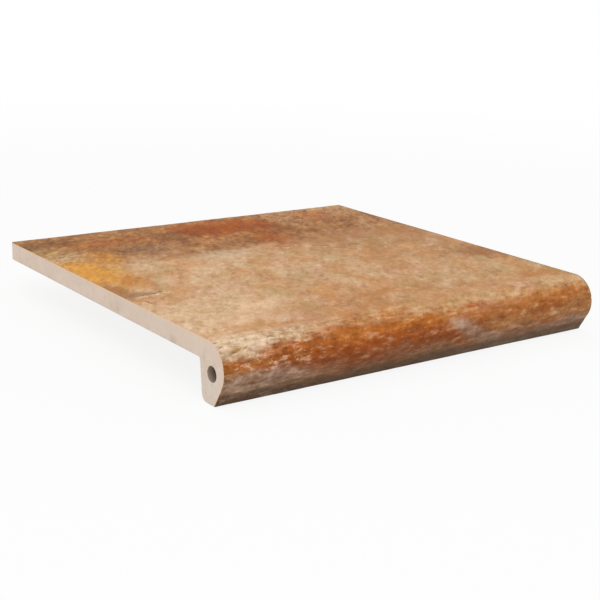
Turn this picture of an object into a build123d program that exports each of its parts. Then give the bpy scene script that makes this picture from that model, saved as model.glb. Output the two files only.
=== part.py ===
from build123d import *
import math
import os

# A step tile of extruded clinker: a flat tread slab whose front edge rolls over into a deep, round
# nose that hangs in front of the riser. Clay is pressed through a die, so the whole tile is one
# section of constant outline, cut off at both ends, with a round core hole left in the thick nose.
#
# Millimetres and degrees. +X runs along the nose, +Y from the nose to the back edge, +Z up.
# The origin is the middle of the bedding face, the slab's flat underside that is laid on the tread.

# Overall size
tile_width = 330.0
tile_depth = 315.0
slab_thickness = 14.5

# Nose, seen in section
nose_height = 42.0  # from the glazed top down to the nose's foot
nose_wall = 28.7  # from the foremost point back to the corner under the slab
front_radius = 19.0  # the round that carries the glaze over the front
undercut_angle = 30.0  # how far the round goes on under its foremost point
inner_draft = 7.0  # lean of the nose's inner face, for the die to release
corner_fillet = 2.0  # where the inner face meets the bedding face
heel_radius = 6.0  # inner edge of the nose's foot
lip_radius = 1.2  # outer edge of the foot, where rain drips off

# Core hole, along the middle of the nose
bore_diameter = 10.5
bore_sag = 0.5  # how far its centre hangs under the middle of the nose's height

# Sharp edges rubbed down while the clay is still soft
arris_radius = 0.7

# Places that follow from the sizes
bedding_depth = tile_depth - nose_wall
back_y = bedding_depth / 2
corner_y = back_y - bedding_depth
front_y = back_y - tile_depth
bedding_z = 0.0
top_z = bedding_z + slab_thickness
foot_z = top_z - nose_height


def tile_section():
    """Outline of the whole tile at its left cut end, with the core hole cut out."""
    round_centre = (front_y + front_radius, top_z - front_radius)
    bore_centre = (front_y + nose_wall / 2, top_z - nose_height / 2 - bore_sag)
    heel_y = corner_y - (bedding_z - foot_z) * math.tan(math.radians(inner_draft))
    with BuildSketch(Plane.YZ.offset(-tile_width / 2)) as section:
        with BuildLine():
            front_round = CenterArc(round_centre, front_radius, 90, 90 + undercut_angle)
            undercut_start = front_round @ 1
            undercut_run = (undercut_start.Y - foot_z) * math.tan(math.radians(undercut_angle))
            lip = (undercut_start.X + undercut_run, foot_z)
            Polyline(
                undercut_start,
                lip,
                (heel_y, foot_z),
                (corner_y, bedding_z),
                (back_y, bedding_z),
                (back_y, top_z),
                front_round @ 0,
            )
        make_face()
        fillet(section.vertices().sort_by_distance(lip)[0], lip_radius)
        fillet(section.vertices().sort_by_distance((heel_y, foot_z))[0], heel_radius)
        fillet(section.vertices().sort_by_distance((corner_y, bedding_z))[0], corner_fillet)
        with Locations(bore_centre):
            Circle(bore_diameter / 2, mode=Mode.SUBTRACT)
    return section.sketch


def step_tile():
    """The section pressed out to the tile's width, with its sharp edges rubbed down."""
    tile = extrude(tile_section(), tile_width)
    cut_ends = tile.faces().filter_by(Axis.X)
    end_outlines = [edge for end in cut_ends for edge in end.outer_wire().edges()]
    back_face = tile.faces().sort_by(Axis.Y)[-1]
    back_edges = back_face.edges().filter_by(Axis.X)
    return fillet([*end_outlines, *back_edges], arris_radius)


os.makedirs("parts", exist_ok=True)
export_step(step_tile(), "parts/step_tile.step")
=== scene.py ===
from math import asin, cos, floor, pi, radians, sin, tan

import bmesh
import bpy
from mathutils import Matrix, Vector, noise


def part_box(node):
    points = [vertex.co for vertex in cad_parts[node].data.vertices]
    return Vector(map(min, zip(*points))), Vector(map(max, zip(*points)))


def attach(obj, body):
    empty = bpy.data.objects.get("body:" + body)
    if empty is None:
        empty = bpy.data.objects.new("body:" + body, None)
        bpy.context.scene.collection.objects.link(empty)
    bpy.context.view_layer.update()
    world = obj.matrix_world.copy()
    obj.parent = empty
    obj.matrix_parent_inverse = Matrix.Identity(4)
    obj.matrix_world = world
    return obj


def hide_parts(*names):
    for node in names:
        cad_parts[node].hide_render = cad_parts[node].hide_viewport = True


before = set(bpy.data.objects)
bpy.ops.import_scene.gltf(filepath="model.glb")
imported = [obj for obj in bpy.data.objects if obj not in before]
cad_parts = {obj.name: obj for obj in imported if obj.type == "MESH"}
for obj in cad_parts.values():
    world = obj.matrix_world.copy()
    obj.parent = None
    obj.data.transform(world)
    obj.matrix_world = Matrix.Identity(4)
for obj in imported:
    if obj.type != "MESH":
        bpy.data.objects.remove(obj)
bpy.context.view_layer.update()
mm = 0.001


# Camera, where the photograph was taken from

cameraView = {
    "place": (-0.54772, -0.76364, 0.24370),
    "yaw": 36.4852,  # from +Y towards +X
    "pitch": -15.7310,
    "roll": 1.9231,
    "lens": 73.910,
    "sensor": 36.0,
    "clip": (0.01, 100),
}

lensBody = bpy.data.cameras.new("camera")
lensBody.lens = cameraView["lens"]
lensBody.sensor_width = cameraView["sensor"]
lensBody.clip_start, lensBody.clip_end = cameraView["clip"]
camera = bpy.data.objects.new("camera", lensBody)
turned = Matrix.Rotation(-radians(cameraView["yaw"]), 4, "Z")
turned = turned @ Matrix.Rotation(pi / 2 + radians(cameraView["pitch"]), 4, "X")
turned = turned @ Matrix.Rotation(radians(cameraView["roll"]), 4, "Z")
camera.matrix_world = Matrix.Translation(cameraView["place"]) @ turned
bpy.context.scene.collection.objects.link(camera)
bpy.context.scene.camera = camera
bpy.context.scene.view_settings.view_transform = "Standard"
print("camera set")


# Shader sockets that can be used in plain expressions

noiseShift = (1, 0.7, 1.3)  # noises are moved along this line, so that no two are alike


class Wire:
    def __init__(self, tree, socket=None):
        self.tree = tree
        self.socket = socket

    def node(self, kind, settings=None, values=None, out=0):  # any node: its settings, then its sockets
        made = self.tree.nodes.new(kind)
        for key, value in (settings or {}).items():
            setattr(made, key, value)
        for key, value in (values or {}).items():
            slot = next(s for s in made.inputs if key in (s.identifier, s.name))
            if isinstance(value, Wire):
                self.tree.links.new(value.socket, slot)
            else:
                slot.default_value = value
        if not made.outputs:
            return None
        found = made.outputs[out] if isinstance(out, int) else next(
            s for s in made.outputs if out in (s.identifier, s.name))
        return Wire(self.tree, found)

    def maths(self, operation, *parts):
        values = dict(zip(("Value", "Value_001"), parts))
        return self.node("ShaderNodeMath", {"operation": operation}, values)

    def __add__(self, other):
        return self.maths("ADD", self, other)

    def __radd__(self, other):
        return self.maths("ADD", other, self)

    def __sub__(self, other):
        return self.maths("SUBTRACT", self, other)

    def __rsub__(self, other):
        return self.maths("SUBTRACT", other, self)

    def __mul__(self, other):
        return self.maths("MULTIPLY", self, other)

    def __rmul__(self, other):
        return self.maths("MULTIPLY", other, self)

    def __abs__(self):
        return self.maths("ABSOLUTE", self)

    def most(self, other):
        return self.maths("MAXIMUM", self, other)

    def step(self, low, high, start=0.0, end=1.0):  # eases from start to end between low and high
        values = {"Value": self, "From Min": low, "From Max": high, "To Min": start, "To Max": end}
        settings = {"interpolation_type": "SMOOTHSTEP", "clamp": False}  # the curve holds its own ends
        return self.node("ShaderNodeMapRange", settings, values)

    def cross(self, line, start=0.0, end=1.0):  # the same over a line given in mm
        low, high = line
        return self.step(low * mm, high * mm, start, end)

    def vector(self, operation, other=(0, 0, 0), out=0):
        values = {"Vector": self, "Vector_001": other}
        return self.node("ShaderNodeVectorMath", {"operation": operation}, values, out)

    def along(self, x=0.0, y=0.0, z=0.0):  # its share along a direction, as a number
        return self.vector("DOT_PRODUCT", (x, y, z), "Value")

    def stretch(self, x, y, z):
        return self.vector("MULTIPLY", (x, y, z))

    def frame(self, centre=(0, 0), size=(1, 1), angle=0.0):  # its place in a moved, turned, scaled frame
        values = {"Vector": self, "Location": (*centre, 0), "Rotation": (0, 0, radians(angle)),
                  "Scale": (*size, 1)}
        return self.node("ShaderNodeMapping", {"vector_type": "TEXTURE"}, values)

    def nearness(self):  # 1 at its origin, falling evenly to 0 at a distance of 1
        settings = {"gradient_type": "SPHERICAL"}
        return self.node("ShaderNodeTexGradient", settings, {"Vector": self}, "Fac")

    def cloud(self, scale, detail, roughness, shift, distortion=0.0):  # soft noise, 0 to 1
        moved = self.vector("ADD", tuple(shift * part for part in noiseShift))
        values = {"Vector": moved, "Scale": scale, "Detail": detail, "Roughness": roughness,
                  "Distortion": distortion}
        return self.node("ShaderNodeTexNoise", {"noise_dimensions": "3D"}, values)


def linear(tone):  # an sRGB tone of 0 to 255, as the shader wants it
    parts = [c / 255 for c in tone]
    return tuple(c / 12.92 if c <= 0.04045 else ((c + 0.055) / 1.055) ** 2.4 for c in parts) + (1.0,)


def layer(base, over, cover, way="MIX"):  # lays a tone over another, by a cover of 0 to 1
    settings = {"data_type": "RGBA", "blend_type": way, "clamp_result": True}
    values = {"Factor_Float": cover, "A_Color": base, "B_Color": over}
    maker = next(w for w in (cover, base, over) if isinstance(w, Wire))
    return maker.node("ShaderNodeMix", settings, values, "Result_Color")


def cloudsOf(place, table, *names):
    return [place.cloud(*table[name]) for name in names]


def dapple(colour, tone, share, *rows):  # tones where a noise runs from one value to another
    for name, where, start, full, strong in rows:
        cover = where.step(start, full)
        if share is not None:
            cover = cover * share
        colour = layer(colour, tone[name], cover * strong)
    return colour


def swing(*rows):  # noises about their middle, each at its own strength, added up
    total = None
    for where, strong in rows:
        part = (where - 0.5) * strong
        total = part if total is None else total + part
    return total


def newMaterial(name):
    material = bpy.data.materials.new(name)
    material.use_nodes = True
    material.node_tree.nodes.clear()
    return material, Wire(material.node_tree)


# Studio: a pale floor, even soft light and one large lamp

studio = {
    "floorSize": 60.0,
    "floorTone": 0.90,
    "floorGlow": 0.86,  # share of the floor's look that is plain white; the rest is lit and shaded
    "glowReach": (0.30, 1.60),  # from here outwards that share grows to all of it
    "skyLight": 0.74,
    "lampPlace": (-0.9, -1.3, 1.9),
    "lampSize": 1.6,
    "lampPower": 17.0,
}


def makeFloor(level):
    bm = bmesh.new()
    bmesh.ops.create_grid(bm, x_segments=1, y_segments=1, size=studio["floorSize"] / 2)
    bmesh.ops.translate(bm, verts=bm.verts, vec=(0, 0, level))
    mesh = bpy.data.meshes.new("floor")
    bm.to_mesh(mesh)
    bm.free()
    floorPlate = bpy.data.objects.new("floor", mesh)
    bpy.context.scene.collection.objects.link(floorPlate)
    material, wire = newMaterial("paleFloor")
    tone = (studio["floorTone"],) * 3 + (1.0,)
    lit = wire.node("ShaderNodeBsdfDiffuse", values={"Color": tone})
    glow = wire.node("ShaderNodeEmission", values={"Color": (1, 1, 1, 1), "Strength": 1.0})
    seen = wire.node("ShaderNodeLightPath", out="Is Camera Ray")
    mirrored = wire.node("ShaderNodeLightPath", out="Is Glossy Ray")
    place = wire.node("ShaderNodeTexCoord", out="Object")
    distance = place.stretch(1, 1, 0).vector("LENGTH", out="Value")
    share = seen.most(mirrored) * distance.step(*studio["glowReach"], studio["floorGlow"], 1)
    both = wire.node("ShaderNodeMixShader", values={"Fac": share, "Shader": lit, "Shader_001": glow})
    wire.node("ShaderNodeOutputMaterial", values={"Surface": both})
    mesh.materials.append(material)


def makeSky():
    world = bpy.data.worlds.new("sky")
    bpy.context.scene.world = world
    world.use_nodes = True
    world.node_tree.nodes.clear()
    wire = Wire(world.node_tree)
    seen = wire.node("ShaderNodeLightPath", out="Is Camera Ray")
    strength = studio["skyLight"] + seen * (1 - studio["skyLight"])
    white = wire.node("ShaderNodeBackground", values={"Color": (1, 1, 1, 1), "Strength": strength})
    wire.node("ShaderNodeOutputWorld", values={"Surface": white})


def makeLamp():
    light = bpy.data.lights.new("softbox", "AREA")
    light.shape = "DISK"
    light.size = studio["lampSize"]
    light.energy = studio["lampPower"]
    lamp = bpy.data.objects.new("softbox", light)
    place = Vector(studio["lampPlace"])
    aimed = (-place).to_track_quat("-Z", "Y").to_matrix().to_4x4()
    lamp.matrix_world = Matrix.Translation(place) @ aimed
    bpy.context.scene.collection.objects.link(lamp)


tileLow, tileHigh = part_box("step_tile")
makeFloor(tileLow.z)
makeSky()
makeLamp()
print("studio set")


# The tile's form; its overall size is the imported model's own

tileForm = {
    "slab": 14.5 * mm,
    "noseWall": 28.7 * mm,
    "roundRadius": 19 * mm,
    "undercut": radians(30),
    "lean": radians(7),
    "cornerRadius": 2 * mm,
    "heelRadius": 6 * mm,
    "lipRadius": 1.2 * mm,
    "arris": 0.7 * mm,
    "boreRadius": 5.25 * mm,
    "boreSag": 0.5 * mm,
    "mouthRound": 0.35 * mm,
    "fineStep": 1.65 * mm,
    "coarseStep": 4 * mm,
    "capStep": 2.2 * mm,
    "flatRing": 0.45 * mm,  # plain ring inside each cut end's arris
    "roundSteps": 28,
    "lipSteps": 4,
    "heelSteps": 7,
    "cornerSteps": 5,
    "arrisSteps": 3,
    "boreSides": 40,
    "weld": 0.01 * mm,  # points nearer than this are one
    "endWeld": 0.05 * mm,  # and this on a cut end
    "flush": 0.001 * mm,  # a point nearer to a plane than this lies in it
}

topZ, footZ, backY, frontY, endX = tileHigh.z, tileLow.z, tileHigh.y, tileLow.y, tileHigh.x
beddingZ = topZ - tileForm["slab"]
cornerY = frontY + tileForm["noseWall"]
roundCentre = Vector((frontY + tileForm["roundRadius"], topZ - tileForm["roundRadius"]))
boreCentre = Vector((frontY + tileForm["noseWall"] / 2, (topZ + footZ) / 2 - tileForm["boreSag"]))


class OutlineWalk:  # draws the section by spinning its last point along straight runs and turns
    def __init__(self, bm, start, heading, across):
        self.bm = bm
        self.heading = heading
        self.last = bm.verts.new((across, *start))

    def spin(self, centre, angle, shift, steps):
        made = bmesh.ops.spin(self.bm, geom=[self.last], cent=centre, axis=(1, 0, 0), dvec=shift,
                              angle=angle, steps=steps, use_duplicate=False)
        self.last = next(g for g in made["geom_last"] if isinstance(g, bmesh.types.BMVert))

    def run(self, length, step):
        steps = max(1, round(length / step))
        way = Vector((0, cos(self.heading), sin(self.heading)))
        self.spin((0, 0, 0), 0, way * (length / steps), steps)

    def turn(self, radius, angle, steps):
        side = radius if angle > 0 else -radius
        centre = self.last.co + Vector((0, -sin(self.heading), cos(self.heading))) * side
        self.spin(centre, angle, (0, 0, 0), steps)
        self.heading += angle


def drawSection(bm, across):
    form = tileForm
    arris, undercut, lean, fine = form["arris"], form["undercut"], form["lean"], form["fineStep"]
    noseDrop = beddingZ - footZ
    endOfRound = roundCentre - form["roundRadius"] * Vector((cos(undercut), sin(undercut)))
    undercutRun = (endOfRound.y - footZ) / cos(undercut)
    lipY = endOfRound.x + undercutRun * sin(undercut)
    heelY = cornerY - noseDrop * tan(lean)
    lipCut = form["lipRadius"] * tan((pi / 2 - undercut) / 2)
    heelCut = form["heelRadius"] * tan((pi / 2 - lean) / 2)
    cornerCut = form["cornerRadius"] * tan((pi / 2 - lean) / 2)
    halfBack = form["slab"] / 2 - arris
    walk = OutlineWalk(bm, (backY, beddingZ + form["slab"] / 2), pi / 2, across)
    walk.run(halfBack, fine)
    walk.turn(arris, pi / 2, form["arrisSteps"])
    walk.run(backY - arris - roundCentre.x, fine)
    walk.turn(form["roundRadius"], pi / 2 + undercut, form["roundSteps"])
    walk.run(undercutRun - lipCut, fine)
    walk.turn(form["lipRadius"], pi / 2 - undercut, form["lipSteps"])
    walk.run(heelY - heelCut - lipY - lipCut, fine)
    walk.turn(form["heelRadius"], pi / 2 - lean, form["heelSteps"])
    walk.run(noseDrop / cos(lean) - heelCut - cornerCut, 2 * fine)
    walk.turn(form["cornerRadius"], lean - pi / 2, form["cornerSteps"])
    walk.run(backY - arris - cornerY - cornerCut, form["coarseStep"])
    walk.turn(arris, pi / 2, form["arrisSteps"])
    walk.run(halfBack, fine)
    bmesh.ops.remove_doubles(bm, verts=bm.verts, dist=form["weld"])


def ofKind(geom, kind):
    return [g for g in geom if isinstance(g, kind)]


def flush(place, x):  # whether a point lies in the plane at x
    return abs(place.x - x) < tileForm["flush"]


def openEdges(bm, x):
    return [e for e in bm.edges if e.is_boundary and all(flush(v.co, x) for v in e.verts)]


def makeCutEnd(bm):  # the left cut end: arris, hole's mouth, and a face ruled into small faces
    form = tileForm
    arris = form["arris"]
    drawSection(bm, arris - endX)
    cap = bmesh.ops.edgeloop_fill(bm, edges=bm.edges)["faces"]
    bm.normal_update()
    if cap[0].normal.x > 0:
        bmesh.ops.reverse_faces(bm, faces=cap)
    rings = form["arrisSteps"]
    for ring in range(rings):
        before, after = (pi / 2 * (ring + i) / rings for i in (0, 1))
        bmesh.ops.inset_region(bm, faces=cap, thickness=arris * (cos(before) - cos(after)),
                               depth=arris * (sin(after) - sin(before)), use_boundary=True,
                               use_even_offset=True)
    bmesh.ops.remove_doubles(bm, verts=cap[0].verts[:], dist=form["endWeld"])
    cap = [max(bm.faces, key=lambda face: len(face.verts))]
    bmesh.ops.inset_region(bm, faces=cap, thickness=form["flatRing"], depth=0, use_boundary=True,
                           use_even_offset=True)
    bmesh.ops.delete(bm, geom=cap, context="FACES_ONLY")

    # the mouth of the core hole, from its wall outwards
    radius = form["boreRadius"]
    facing = Matrix.Rotation(pi / 2, 4, "Y")
    facing = Matrix.Translation((form["mouthRound"] - endX, *boreCentre)) @ facing
    circle = bmesh.ops.create_circle(bm, segments=form["boreSides"], radius=radius, matrix=facing)
    edges = list({e for v in circle["verts"] for e in v.link_edges})
    centred = Matrix.Translation((0, *-boreCentre))
    for angle in (pi / 4, pi / 2):
        wider = form["boreRadius"] + form["mouthRound"] * (1 - cos(angle))
        made = bmesh.ops.extrude_edge_only(bm, edges=edges)["geom"]
        verts, edges = ofKind(made, bmesh.types.BMVert), ofKind(made, bmesh.types.BMEdge)
        bmesh.ops.scale(bm, verts=verts, vec=(1, wider / radius, wider / radius), space=centred)
        level = form["mouthRound"] * (1 - sin(angle)) - endX
        bmesh.ops.translate(bm, verts=verts, vec=(level - verts[0].co.x, 0, 0))
        radius = wider
    filled = bmesh.ops.triangle_fill(bm, edges=openEdges(bm, -endX), normal=(-1, 0, 0),
                                     use_beauty=True, use_dissolve=False)["geom"]
    faces = ofKind(filled, bmesh.types.BMFace)
    for axis, low, high in ((Vector((0, 1, 0)), frontY, backY), (Vector((0, 0, 1)), footZ, topZ)):
        cuts = round((high - low) / form["capStep"])
        for i in range(1, cuts):
            around = {part for f in faces for part in (*f.edges, *f.verts)}
            bmesh.ops.bisect_plane(bm, geom=faces + list(around), dist=form["endWeld"], plane_no=axis,
                                   plane_co=axis * (low + (high - low) * i / cuts))
            faces = [f for f in bm.faces if flush(f.calc_center_median(), -endX)]


def makeTile():  # the cut end, its twin on the right, and the walls pressed out between them
    form = tileForm
    bm = bmesh.new()
    makeCutEnd(bm)
    rims = openEdges(bm, form["arris"] - endX), openEdges(bm, form["mouthRound"] - endX)
    twin = bmesh.ops.duplicate(bm, geom=bm.verts[:] + bm.edges[:] + bm.faces[:])
    bmesh.ops.scale(bm, verts=ofKind(twin["geom"], bmesh.types.BMVert), vec=(-1, 1, 1))
    for rim, inset, step in ((rims[0], form["arris"], form["fineStep"]),
                             (rims[1], form["mouthRound"], form["coarseStep"])):
        span = 2 * (endX - inset)
        steps = round(span / step)
        verts = list({v for e in rim for v in e.verts})
        bmesh.ops.spin(bm, geom=verts + rim, cent=(0, 0, 0), axis=(1, 0, 0), dvec=(span / steps, 0, 0),
                       angle=0, steps=steps, use_duplicate=False)
    bmesh.ops.remove_doubles(bm, verts=bm.verts, dist=form["weld"])
    bmesh.ops.recalc_face_normals(bm, faces=bm.faces)
    return bm


def clamp(value, low=0.0, high=1.0):
    return max(low, min(high, value))


def topRun(y, z):  # distance over the glazed side, from the back edge down to the lip
    flat = backY - roundCentre.x
    undercut = tileForm["undercut"]
    if y >= roundCentre.x and z > beddingZ:
        return backY - y
    out = Vector((y, z)) - roundCentre
    along = out.x * sin(undercut) - out.y * cos(undercut)
    if along > 0:
        return flat + tileForm["roundRadius"] * (pi / 2 + undercut) + along
    height = clamp(out.y / max(out.length, tileForm["flush"]), -1, 1)
    return flat + tileForm["roundRadius"] * (pi / 2 - asin(height))


def skinDepth(y, z):  # how far a point of the section lies under the glazed outline
    undercut = tileForm["undercut"]
    out = Vector((y, z)) - roundCentre
    if out.x >= 0:
        return topZ - z
    if out.x * sin(undercut) - out.y * cos(undercut) > 0:
        return tileForm["roundRadius"] + out.x * cos(undercut) + out.y * sin(undercut)
    return tileForm["roundRadius"] - out.length


# Relief: cleft stone pressed into the glazed side, die lines below, wire marks on the cut ends

surfaceRelief = {
    "stone": 0.34 * mm,
    "dieLines": 0.12 * mm,
    "wireMarks": 0.10 * mm,
    "chips": 0.45 * mm,
    "endWrap": 0.45 * mm,  # how far the glaze runs over the arris of a cut end
    "backWrap": 1.3 * mm,  # and over the back arris and the lip
    "edgeReach": 20 * mm,  # the farthest distance to the glaze's edge that is told apart
    "chipReach": 1.2 * mm,  # chips stay this near to where two sides meet
    "chipSides": (0.2, 0.99),  # and on slopes between these shares of the normal along x
    "chipCut": (0.28, 1.6),  # the noise that a chip starts from, and how steeply it deepens
    "endSide": 0.95,  # from this share of the normal along x no stone is pressed in
    "wallSide": 0.5,  # above this share a point belongs to a cut end
    "boreSkin": 0.2 * mm,
}

stoneForm = {
    "sway": (24, 0.9, 2.1, 4),  # scale, dimension, gap between octaves and their number
    "fine": (105, 0.8, 2.0, 3),
    "fineShift": Vector((7, 3, 1)),
    "across": (0.85, 0.4),  # its scale across the tile, and how much less that is over the nose
    "change": (8 * mm, 20 * mm),  # it changes from this far before the round, over this length
    "layers": (2.4, 0.5),  # plateaus to a unit of sway and of fine
    "stepShare": 0.4,  # share of a plateau that is its ragged step
    "heights": (0.62, 0.17, 0.20),  # middle, one step, fine grain
}

# scale along x, y and z, shift, then the noise's own three numbers
markNoise = {
    "wireMarks": ((9, 70, 260), (0, 0, 0), 0.8, 2.0, 3),
    "chips": ((10, 160, 160), (0, 0, 5), 0.7, 2.0, 3),
}
dieNoise = (((2.2, 190, 190), (0, 0, 0), 1), ((6, 420, 0), (0, 0, 4), 0.5))  # scale, shift, strength


def marked(point, scale, shift):
    return Vector([part * size + more for part, size, more in zip(point, scale, shift)])


def markHeight(point, name):
    scale, shift, *octaves = markNoise[name]
    return noise.fractal(marked(point, scale, shift), *octaves)


def stoneHeight(x, run):  # plateaus with ragged steps between them, 0 low and 1 high
    before, length = stoneForm["change"]
    nose = clamp((run - (backY - roundCentre.x) + before) / length)
    onTop, less = stoneForm["across"]
    spot = Vector((x * (onTop - less * nose), run, 0))
    swayScale, *swayOctaves = stoneForm["sway"]
    fineScale, *fineOctaves = stoneForm["fine"]
    sway = noise.fractal(spot * swayScale, *swayOctaves)
    fine = noise.fractal(spot * fineScale + stoneForm["fineShift"], *fineOctaves)
    ofSway, ofFine = stoneForm["layers"]
    layers = sway * ofSway + fine * ofFine
    part = clamp((layers - floor(layers)) / stoneForm["stepShare"])
    stepped = floor(layers) + part * part * (3 - 2 * part)
    middle, step, grain = stoneForm["heights"]
    return clamp(middle + step * stepped + grain * fine)


def carve(bm):
    look = surfaceRelief
    edgeLayer = bm.verts.layers.float.new("glazeEdge")
    heightLayer = bm.verts.layers.float.new("relief")
    bm.normal_update()
    moves = []
    lipRun = topRun(roundCentre.x - tileForm["roundRadius"] * cos(tileForm["undercut"]), footZ)
    chipsFrom, chipSlope = look["chipCut"]
    for v in bm.verts:
        x, y, z = v.co
        normal = v.normal
        side = abs(normal.x)
        run = topRun(y, z)
        depth = skinDepth(y, z)
        inside = min(endX - abs(x), run + tileForm["arris"], max(0, lipRun - run))
        wrap = look["backWrap"] * (1 - side) + look["endWrap"] * side
        edge = clamp(wrap + max(0, inside) - max(0, depth), -look["edgeReach"], look["edgeReach"])
        v[edgeLayer] = edge
        height = stoneHeight(x, run)
        v[heightLayer] = height
        if edge > 0 and side < look["endSide"]:
            push = look["stone"] * (1 - height) * (1 - side)
        elif side > look["wallSide"]:
            push = look["wireMarks"] * clamp(0.5 + 0.6 * markHeight(v.co, "wireMarks")) * side
        elif (Vector((y, z)) - boreCentre).length < tileForm["boreRadius"] + look["boreSkin"]:
            push = 0
        else:
            lines = sum(strong * noise.noise(marked(v.co, scale, shift))
                        for scale, shift, strong in dieNoise)
            push = look["dieLines"] * clamp(0.5 + 0.55 * lines)
        low, high = look["chipSides"]
        if endX - abs(x) + abs(depth) < look["chipReach"] and low < side < high:
            push += look["chips"] * clamp(markHeight(v.co, "chips") - chipsFrom) * chipSlope
        moves.append(normal * -push)
    for v, move in zip(bm.verts, moves):
        v.co += move
    mapLayer = bm.loops.layers.uv.new("sweep")
    for face in bm.faces:
        face.smooth = True
        for loop in face.loops:
            x, y, z = loop.vert.co
            loop[mapLayer].uv = (x, topRun(y, z))


# Glaze: cleft stone in sand, rust and gold, sprayed over the top, the round and the undercut

glazeTones = {
    "sand": (203, 157, 110),
    "cream": (230, 195, 154),
    "chalk": (232, 208, 178),
    "rose": (216, 164, 130),
    "olive": (188, 156, 102),
    "mist": (218, 194, 162),
    "honey": (198, 134, 74),
    "fawn": (184, 130, 82),
    "umber": (164, 108, 58),
    "bark": (110, 64, 26),
    "rust": (172, 88, 16),
    "ember": (138, 62, 6),
    "gold": (222, 152, 50),
    "amber": (188, 116, 34),
    "slate": (124, 102, 82),
    # the grey-brown and near-black tones of the foot are partly the glaze's own, partly painted shade on
    # the undercut
    "ashAndShade": (140, 106, 80),
    "dusk": (158, 134, 118),
    "sootAndShade": (82, 60, 40),
    "peach": (232, 188, 142),
}

# tone, centre and half size over the glazed side in mm (x, run, x, run), softness, strength, slant
paleAreas = (
    ("cream", -142, 258, 82, 60, 0.50, 0.75),
    ("cream", -114, 250, 36, 26, 0.60, 0.95),
    ("cream", -112, 146, 34, 46, 0.60, 0.50),
    ("cream", 2, 178, 44, 44, 0.60, 0.35),
    ("cream", -76, 158, 56, 46, 0.60, 0.30),
    ("fawn", 112, 140, 90, 58, 0.50, 0.55),
    ("honey", -44, 278, 84, 38, 0.50, 0.75),
    ("fawn", -58, 280, 40, 24, 0.60, 0.50),
    ("honey", 150, 288, 54, 28, 0.50, 0.40),
)
bandAreas = (
    ("umber", -40, 40, 190, 62, 0.24, 0.88),
    ("umber", 118, 62, 108, 66, 0.40, 0.52),
    ("sand", 130, 12, 70, 26, 0.60, 0.66),
    ("sand", 78, 38, 22, 24, 0.60, 0.45),
    ("umber", -78, 97, 24, 14, 0.60, 0.40),
    ("fawn", 58, 112, 46, 14, 0.60, 0.55),
)
strongAreas = (
    ("olive", -160, 56, 26, 34, 0.50, 0.45),
    ("mist", -150, 74, 18, 12, 0.60, 0.50),
    ("mist", -40, 116, 24, 10, 0.60, 0.50),
    ("cream", -112, 252, 32, 24, 0.60, 0.60),
    ("cream", 150, 300, 24, 12, 0.60, 0.40),
    ("slate", -80, 74, 26, 14, 0.60, 0.42),
    ("rust", 4, 34, 38, 26, 0.45, 0.93),
    ("ember", -6, 38, 26, 16, 0.60, 0.55),
    ("rust", 44, 32, 22, 20, 0.45, 0.82),
    ("ember", 46, 50, 24, 16, 0.60, 0.45),
    ("rust", 32, 84, 16, 26, 0.60, 0.65),
    ("rust", 110, 28, 18, 16, 0.60, 0.55),
    ("rust", -104, 38, 44, 12, 0.60, 0.40),
    ("bark", -146, 24, 30, 12, 0.60, 0.50),
    ("bark", -40, 46, 20, 12, 0.60, 0.35),
    ("gold", -156, 124, 25, 46, 0.55, 0.72),
    ("gold", -154, 112, 15, 26, 0.60, 0.60),
    ("gold", -124, 80, 12, 18, 0.60, 0.50),
    ("amber", -138, 156, 14, 18, 0.60, 0.60),
    ("umber", -162, 172, 9, 24, 0.50, 0.70),
    ("slate", -152, 188, 12, 5, 0.60, 0.50),
    ("umber", 154, 205, 20, 20, 0.50, 0.86),
    ("amber", 142, 284, 26, 12, 0.70, 0.35),
)
noseAreas = (
    ("rust", -50, 320, 84, 13.5, 0.40, 0.90),
    ("chalk", -150, 307, 36, 10, 0.45, 0.62),
    ("chalk", -112, 303, 22, 6, 0.60, 0.45),
    ("rust", -156, 321, 14, 4, 0.60, 0.65),
    ("rust", -132, 326, 18, 4, 0.60, 0.62, 12),
    ("rust", -120, 315, 14, 5, 0.50, 0.75),
    ("amber", -60, 315, 24, 5, 0.60, 0.30),
    ("amber", -4, 315, 26, 5, 0.60, 0.40),
    ("rust", 84, 316, 52, 6, 0.60, 0.54),
    ("fawn", 112, 305, 16, 5, 0.60, 0.45),
    ("amber", 134, 313, 40, 7, 0.60, 0.55),
    ("rust", 140, 314, 18, 4, 0.60, 0.50),
    ("ember", -40, 327, 76, 9, 0.50, 0.75),
    ("bark", -30, 334, 80, 7, 0.50, 0.40),
    ("ember", 120, 322, 24, 5, 0.60, 0.50),
    ("bark", 112, 335, 30, 6, 0.60, 0.40),
    ("dusk", -140, 336, 40, 10, 0.45, 0.75),
    ("dusk", 142, 338, 26, 5, 0.60, 0.60),
)
lipAreas = (
    ("ember", -64, 333, 42, 6, 0.60, 0.42, 6),
    ("bark", -36, 342, 70, 5, 0.60, 0.35),
    ("rust", 118, 331, 18, 6, 0.60, 0.36, 10),
    ("ember", 40, 328, 26, 7, 0.60, 0.45),
    ("ember", 34, 336, 13, 3.5, 0.60, 0.55, 40),
    ("dusk", 57, 336, 20, 5, 0.80, 0.46, 18),
    ("dusk", 37, 325, 12, 5, 0.80, 0.46, 22),
    ("mist", 27, 320, 8, 3, 0.80, 0.34, 14),
)

# cracks with pale chips along them: centre and half length in mm, slant, strength
creases = (
    (-4, 104, 13, 40, 0.50),
    (20, 117, 15, 22, 0.60),
    (47, 129, 12, 30, 0.58),
    (72, 139, 13, 12, 0.50),
    (97, 157, 12, 34, 0.55),
    (124, 172, 15, 16, 0.48),
    (-144, 190, 15, -18, 0.90),
    (-158, 211, 9, 62, 0.70),
    (-92, 96, 22, 14, 0.40),
    (24, 262, 20, 10, 0.35),
)

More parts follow.
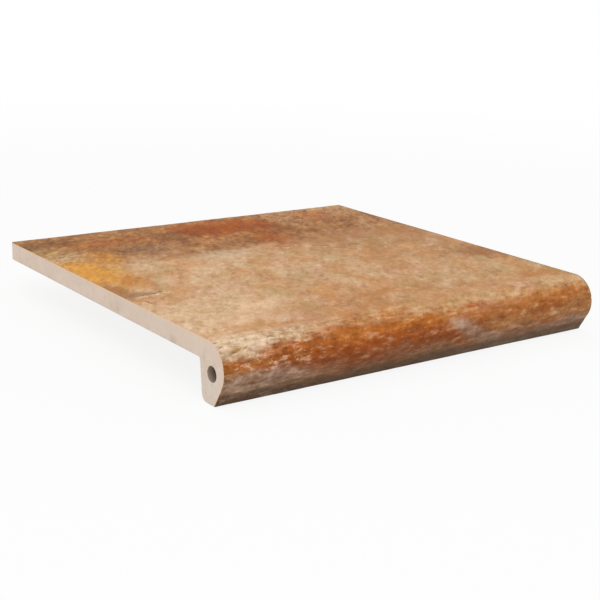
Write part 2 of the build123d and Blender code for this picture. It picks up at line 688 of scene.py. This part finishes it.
# noises of the glaze: scale, detail, roughness, shift and distortion
glazeNoise = {
    "ragged": (36, 7, 0.70, 1.7),
    "drift": (34, 4, 0.60, 8.3),
    "clouds": (66, 7, 0.68, 3.1),
    "blotches": (120, 7, 0.70, 6.1),
    "dabs": (260, 5, 0.68, 2.9),
    "specks": (780, 3, 0.65, 0.4),
    "noseRag": (110, 6, 0.72, 4.2),
    "noseDabs": (340, 5, 0.66, 5.5),
    "noseSpots": (190, 4, 0.60, 9.7),
    "dashes": (350, 3, 0.60, 12.9, 0.5),
    "blush": (52, 2, 0.5, 11.3),
    "moss": (44, 2, 0.5, 14.9),
}

# where each change over the glazed side starts and is full, in mm
glazeLines = {
    "crag": (-76, -116),  # across; the nose is roughest at its left
    "cragTop": (294, 303),
    "cragFoot": (324, 332),
    "nose": (292, 308),
    "band": (112, 78),
    "brown": (307, 320),
    # the foot greys and blackens down to the lip: partly the glaze's own colour, partly painted shade on
    # the undercut
    "ashAndShade": (326, 342),
    "lip": (330, 346),
    "sootAndShade": (337, 348),
    "farRight": (0, 60),
    "farBack": (9, 5),
    "fringe": (1.0, 4.4),  # from the glaze's own edge inwards
}

# how far the noises push such a line
glazeWander = {
    "band": 60 * mm,
    "fall": 42 * mm,
    "fallDabs": 16 * mm,
    "sootAndShade": 14 * mm,
    "fringe": 7 * mm,
}

creaseForm = {
    "wander": 30 * mm,  # how far the noise may push a crease aside
    "fullShare": 0.4,  # share of its half length at full strength
    "crackOff": 1.2 * mm,
    "crack": (1.4, 0.2),
    "chipsOff": 1.8 * mm,
    "chips": (3.0, 0.4),
}

spotReach = 3  # a spot's nearness runs out at this many of its half sizes


def makeGlazeLook(wire, edge):
    tone = {name: linear(value) for name, value in glazeTones.items()}
    noises, lines, wander = glazeNoise, glazeLines, glazeWander
    place = wire.node("ShaderNodeUVMap", {"uv_map": "sweep"})
    x = place.along(x=1)
    run = place.along(y=1)
    relief = place.node("ShaderNodeAttribute", {"attribute_name": "relief"}, out="Fac")
    grain = place.frame(size=(1.6, 1), angle=-56)  # the stone's grain runs aslant over the top
    streaks = place.frame(size=(2.8, 1))  # and along the nose
    ragged = grain.cloud(*noises["ragged"]) - 0.5
    drift, clouds, blotches, dabs = cloudsOf(grain, noises, "drift", "clouds", "blotches", "dabs")
    specks = place.cloud(*noises["specks"])
    noseRag = streaks.cloud(*noises["noseRag"]) - 0.5
    noseDabs, noseSpots = cloudsOf(streaks, noises, "noseDabs", "noseSpots")
    crag = x.cross(lines["crag"])
    dashes = place.frame(size=(2.4, 1)).cloud(*noises["dashes"])
    cragShare = run.cross(lines["cragTop"]) * run.cross(lines["cragFoot"], 1, 0.35) * (crag * 0.80 + 0.10)
    cleft = dashes.step(0.45, 0.35) * cragShare
    noseShare = run.cross(lines["nose"])

    def lay(colour, areas, rag):  # spots of tone, each with a ragged rim at its half size
        rim = spotReach - 1
        for name, cx, cs, wide, long, soft, strong, *slant in areas:
            size = (spotReach * wide * mm, spotReach * long * mm)
            spot = place.frame((cx * mm, cs * mm), size, *slant)
            cover = (spot.nearness() * spotReach - rag).step(rim - soft, rim + soft, 0, strong)
            colour = layer(colour, tone[name], cover)
        return colour

    # pale stone in drifts of near tones, then the brown band at the back with its own
    colour = lay(tone["sand"], paleAreas, ragged * 1.4)
    colour = dapple(colour, tone, None,
                    ("rose", grain.cloud(*noises["blush"]), 0.44, 0.66, 0.45),
                    ("olive", grain.cloud(*noises["moss"]), 0.46, 0.68, 0.45),
                    ("mist", clouds, 0.48, 0.72, 0.50),
                    ("honey", drift, 0.46, 0.64, 0.55),
                    ("fawn", blotches, 0.48, 0.30, 0.45))
    colour = lay(colour, bandAreas, ragged * 1.4)
    band = (run + ragged * wander["band"]).cross(lines["band"])
    colour = dapple(colour, tone, band,
                    ("honey", blotches, 0.50, 0.70, 0.50),
                    ("bark", clouds, 0.48, 0.30, 0.45))
    colour = lay(colour, strongAreas, ragged * 1.8 + (blotches - 0.5) * 1.2)

    # brown from the round downwards, rust in streaks along it, then grey-brown and near black down to the
    # lip: partly the glaze's own darker foot, partly painted shade on the undercut, which faces down
    fall = run + noseRag * wander["fall"] + (noseDabs - 0.5) * wander["fallDabs"]
    colour = layer(colour, tone["umber"], fall.cross(lines["brown"]))
    colour = lay(colour, noseAreas, noseRag * 2.8 + (noseDabs - 0.5) * 0.9)
    colour = layer(colour, tone["ashAndShade"], fall.cross(lines["ashAndShade"]) * 0.70)
    colour = lay(colour, lipAreas, noseRag * 2.4 + (noseDabs - 0.5) * 0.9)
    colour = dapple(colour, tone, noseShare,
                    ("peach", noseSpots, 0.52, 0.76, run.cross(lines["lip"], 0.35, 0.24)),
                    ("bark", noseSpots, 0.47, 0.28, 0.40),
                    ("peach", noseDabs, 0.53, 0.80, run.cross(lines["lip"], 0.38, 0.28)),
                    ("bark", noseDabs, 0.46, 0.26, 0.30))
    colour = layer(colour, tone["sootAndShade"], (run + noseRag * wander["sootAndShade"]).cross(lines["sootAndShade"]) * 0.85)
    colour = layer(colour, tone["chalk"], dashes.step(0.54, 0.65) * cragShare * 0.50)
    colour = layer(colour, tone["bark"], cleft * 0.46)

    # dark cracks, each with pale chips along one side
    form = creaseForm
    cracks = 0.0
    for cx, cs, half, slant, strong in creases:
        centre = Vector((cx, cs)) * mm
        way = Vector((cos(radians(slant)), sin(radians(slant))))
        across = Vector((-way.y, way.x))
        off = place.along(*across) - across.dot(centre) + ragged * form["wander"]
        inside = abs(place.along(*way) - way.dot(centre)).cross((half, half * form["fullShare"]))
        gaping = inside * dabs.step(0.46, 0.55) * strong
        cracks = abs(off + form["crackOff"]).cross(form["crack"]) * gaping + cracks
        colour = layer(colour, tone["peach"], abs(off - form["chipsOff"]).cross(form["chips"]) * gaping)
    colour = layer(colour, tone["bark"], cracks)

    # lighter on the heights, darker and browner in the hollows
    coarse = crag * 0.8 + 0.7
    shade = swing((drift, 0.30), (clouds, 0.60), (blotches, 0.80), (dabs, 1.15), (specks, 0.70))
    shade = shade + relief.step(0.25, 0.9, -0.09, 0.05)
    shade = shade + swing((clouds, 0.4), (blotches, 1.2), (dabs, 1.2)) * band
    shade = shade + swing((noseDabs, 1.3), (noseSpots, 0.7)) * noseShare * coarse
    tint = place.node("ShaderNodeCombineColor", values={
        "Red": 1 + shade * 0.72, "Green": 1 + shade, "Blue": 1 + shade * 1.45})
    colour = layer(colour, tint, 1.0, "MULTIPLY")
    roughness = 0.66 + (dabs - 0.5) * 0.5 + (clouds - 0.5) * 0.3
    height = swing((clouds, 0.50 * mm), (dabs, 0.55 * mm), (specks, 0.30 * mm))
    height = height + (noseDabs - 0.5) * noseShare * coarse * (0.34 * mm)
    height = height - (cracks + cleft) * (0.18 * mm)

    # darker along the glaze's edge over the far right and back edges, in cloudy patches
    edgeDarkCover = clouds.step(0.40, 0.58, 0.25, 0.85)
    farEdge = x.cross(lines["farRight"]).most(run.cross(lines["farBack"])) * edgeDarkCover
    fringe = (edge + ragged * wander["fringe"]).cross(lines["fringe"], 1, 0)
    colour = layer(colour, tone["slate"], fringe * farEdge)
    return colour, roughness, height


# Fired clay of the cut ends, back, underside and core hole

clayTones = {
    "body": (226, 205, 187),
    "paler": (235, 216, 200),
    "cooler": (226, 214, 202),
    "warm": (240, 206, 172),
    "darkerClay": (200, 178, 160),
    "grog": (168, 136, 112),
    "hole": (146, 130, 116),
}

# noises of the clay: scale, detail, roughness and shift
clayNoise = {
    "patches": (34, 5, 0.6, 2.2),
    "mottle": (170, 5, 0.62, 5.1),
    "grain": (1500, 3, 0.7, 1.1),
    "grog": (520, 2, 0.5, 4.4),
    "wireLines": (1, 4, 0.6, 3.3),
    "dieLines": (1, 4, 0.6, 9.1),
}

# where each change starts and is full, in mm of height or in from the glaze's edge
clayLines = {
    "under": (3, 0.5),
    "darkerBelow": (12, 3),
    "cooler": (-1, -18),
    "warm": (-2.2, -0.2),
}


def makeClayLook(wire, edge):
    tone = {name: linear(value) for name, value in clayTones.items()}
    noises, lines = clayNoise, clayLines
    place = wire.node("ShaderNodeTexCoord", out="Object")
    z = place.along(z=1)
    fromHole = place.vector("SUBTRACT", (0, *boreCentre)).stretch(0, 1, 1).vector("LENGTH", out="Value")
    inHole = fromHole.step(tileForm["boreRadius"] + 0.15 * mm, tileForm["boreRadius"])
    patches, mottle, grain = cloudsOf(place, noises, "patches", "mottle", "grain")
    wireLines = place.stretch(18, 420, 60).cloud(*noises["wireLines"])
    dieLines = place.stretch(3, 380, 380).cloud(*noises["dieLines"])
    colour = dapple(tone["body"], tone, None,
                    ("paler", patches, 0.48, 0.66, 0.5),
                    # darker patches, stronger towards the bottom
                    ("darkerClay", patches, 0.44, 0.30, z.cross(lines["darkerBelow"], 0.10, 0.6)),
                    ("paler", mottle, 0.52, 0.70, 0.4),
                    ("darkerClay", mottle, 0.46, 0.30, 0.3))
    colour = layer(colour, tone["cooler"], z.cross(lines["cooler"], 0, 0.6))
    colour = layer(colour, tone["warm"], edge.cross(lines["warm"], 0, 0.75))
    colour = layer(colour, tone["grog"], place.cloud(*noises["grog"]).step(0.70, 0.76) * 0.35)
    shade = wireLines.step(0.3, 0.7, 0.985, 1.01) * grain.step(0.3, 0.7, 0.97, 1.03)
    shade = shade * (1 - z.cross(lines["under"]) * dieLines.step(0.55, 0.3, 0, 0.10))
    colour = layer(colour, shade, 1.0, "MULTIPLY")
    # the core hole's wall: partly darker fired clay, partly painted shade of the deep hole
    colour = layer(colour, tone["hole"], inHole * 0.9)
    roughness = 0.86 + (mottle - 0.5) * 0.15
    height = swing((grain, 0.05 * mm), (mottle, 0.08 * mm), (wireLines, 0.04 * mm))
    return colour, roughness, height


# where glaze meets clay
glazeRim = {
    "nibble": 0.9 * mm,  # how far the noise shifts the edge
    "noise": (420, 4, 0.65, 6.6),
    "blur": 0.10 * mm,
    "rise": 0.12 * mm,
}


def makeClinker():
    material, wire = newMaterial("glazedClinker")
    edge = wire.node("ShaderNodeAttribute", {"attribute_name": "glazeEdge"}, out="Fac")
    glaze, glazeRough, glazeHeight = makeGlazeLook(wire, edge)
    clay, clayRough, clayHeight = makeClayLook(wire, edge)
    nibbled = wire.node("ShaderNodeTexCoord", out="Object").cloud(*glazeRim["noise"]) - 0.5
    cover = (edge + nibbled * glazeRim["nibble"]).step(-glazeRim["blur"], glazeRim["blur"])
    height = clayHeight * (1 - cover) + (glazeHeight + glazeRim["rise"]) * cover
    roughness = clayRough * (1 - cover) + glazeRough * cover
    skin = wire.node("ShaderNodeBump", out="Normal", values={
        "Strength": 1.0, "Distance": 1.0, "Height": height})
    surface = wire.node("ShaderNodeBsdfPrincipled", values={
        "Base Color": layer(clay, glaze, cover), "Roughness": roughness,
        "Specular IOR Level": 0.2, "Normal": skin})
    wire.node("ShaderNodeOutputMaterial", values={"Surface": surface})
    return material


bm = makeTile()
openCount = sum(len(e.link_faces) != 2 for e in bm.edges)
print("tile formed:", len(bm.faces), "faces,", openCount, "open edges")
carve(bm)
mesh = bpy.data.meshes.new("step_tile_glazed")
bm.to_mesh(mesh)
bm.free()
tile = bpy.data.objects.new("step_tile_glazed", mesh)
bpy.context.scene.collection.objects.link(tile)
mesh.materials.append(makeClinker())
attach(tile, "root")
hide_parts("step_tile")
triangles = sum(len(p.vertices) - 2 for p in mesh.polygons)
print("tile finished:", len(mesh.vertices), "points,", triangles, "triangles")
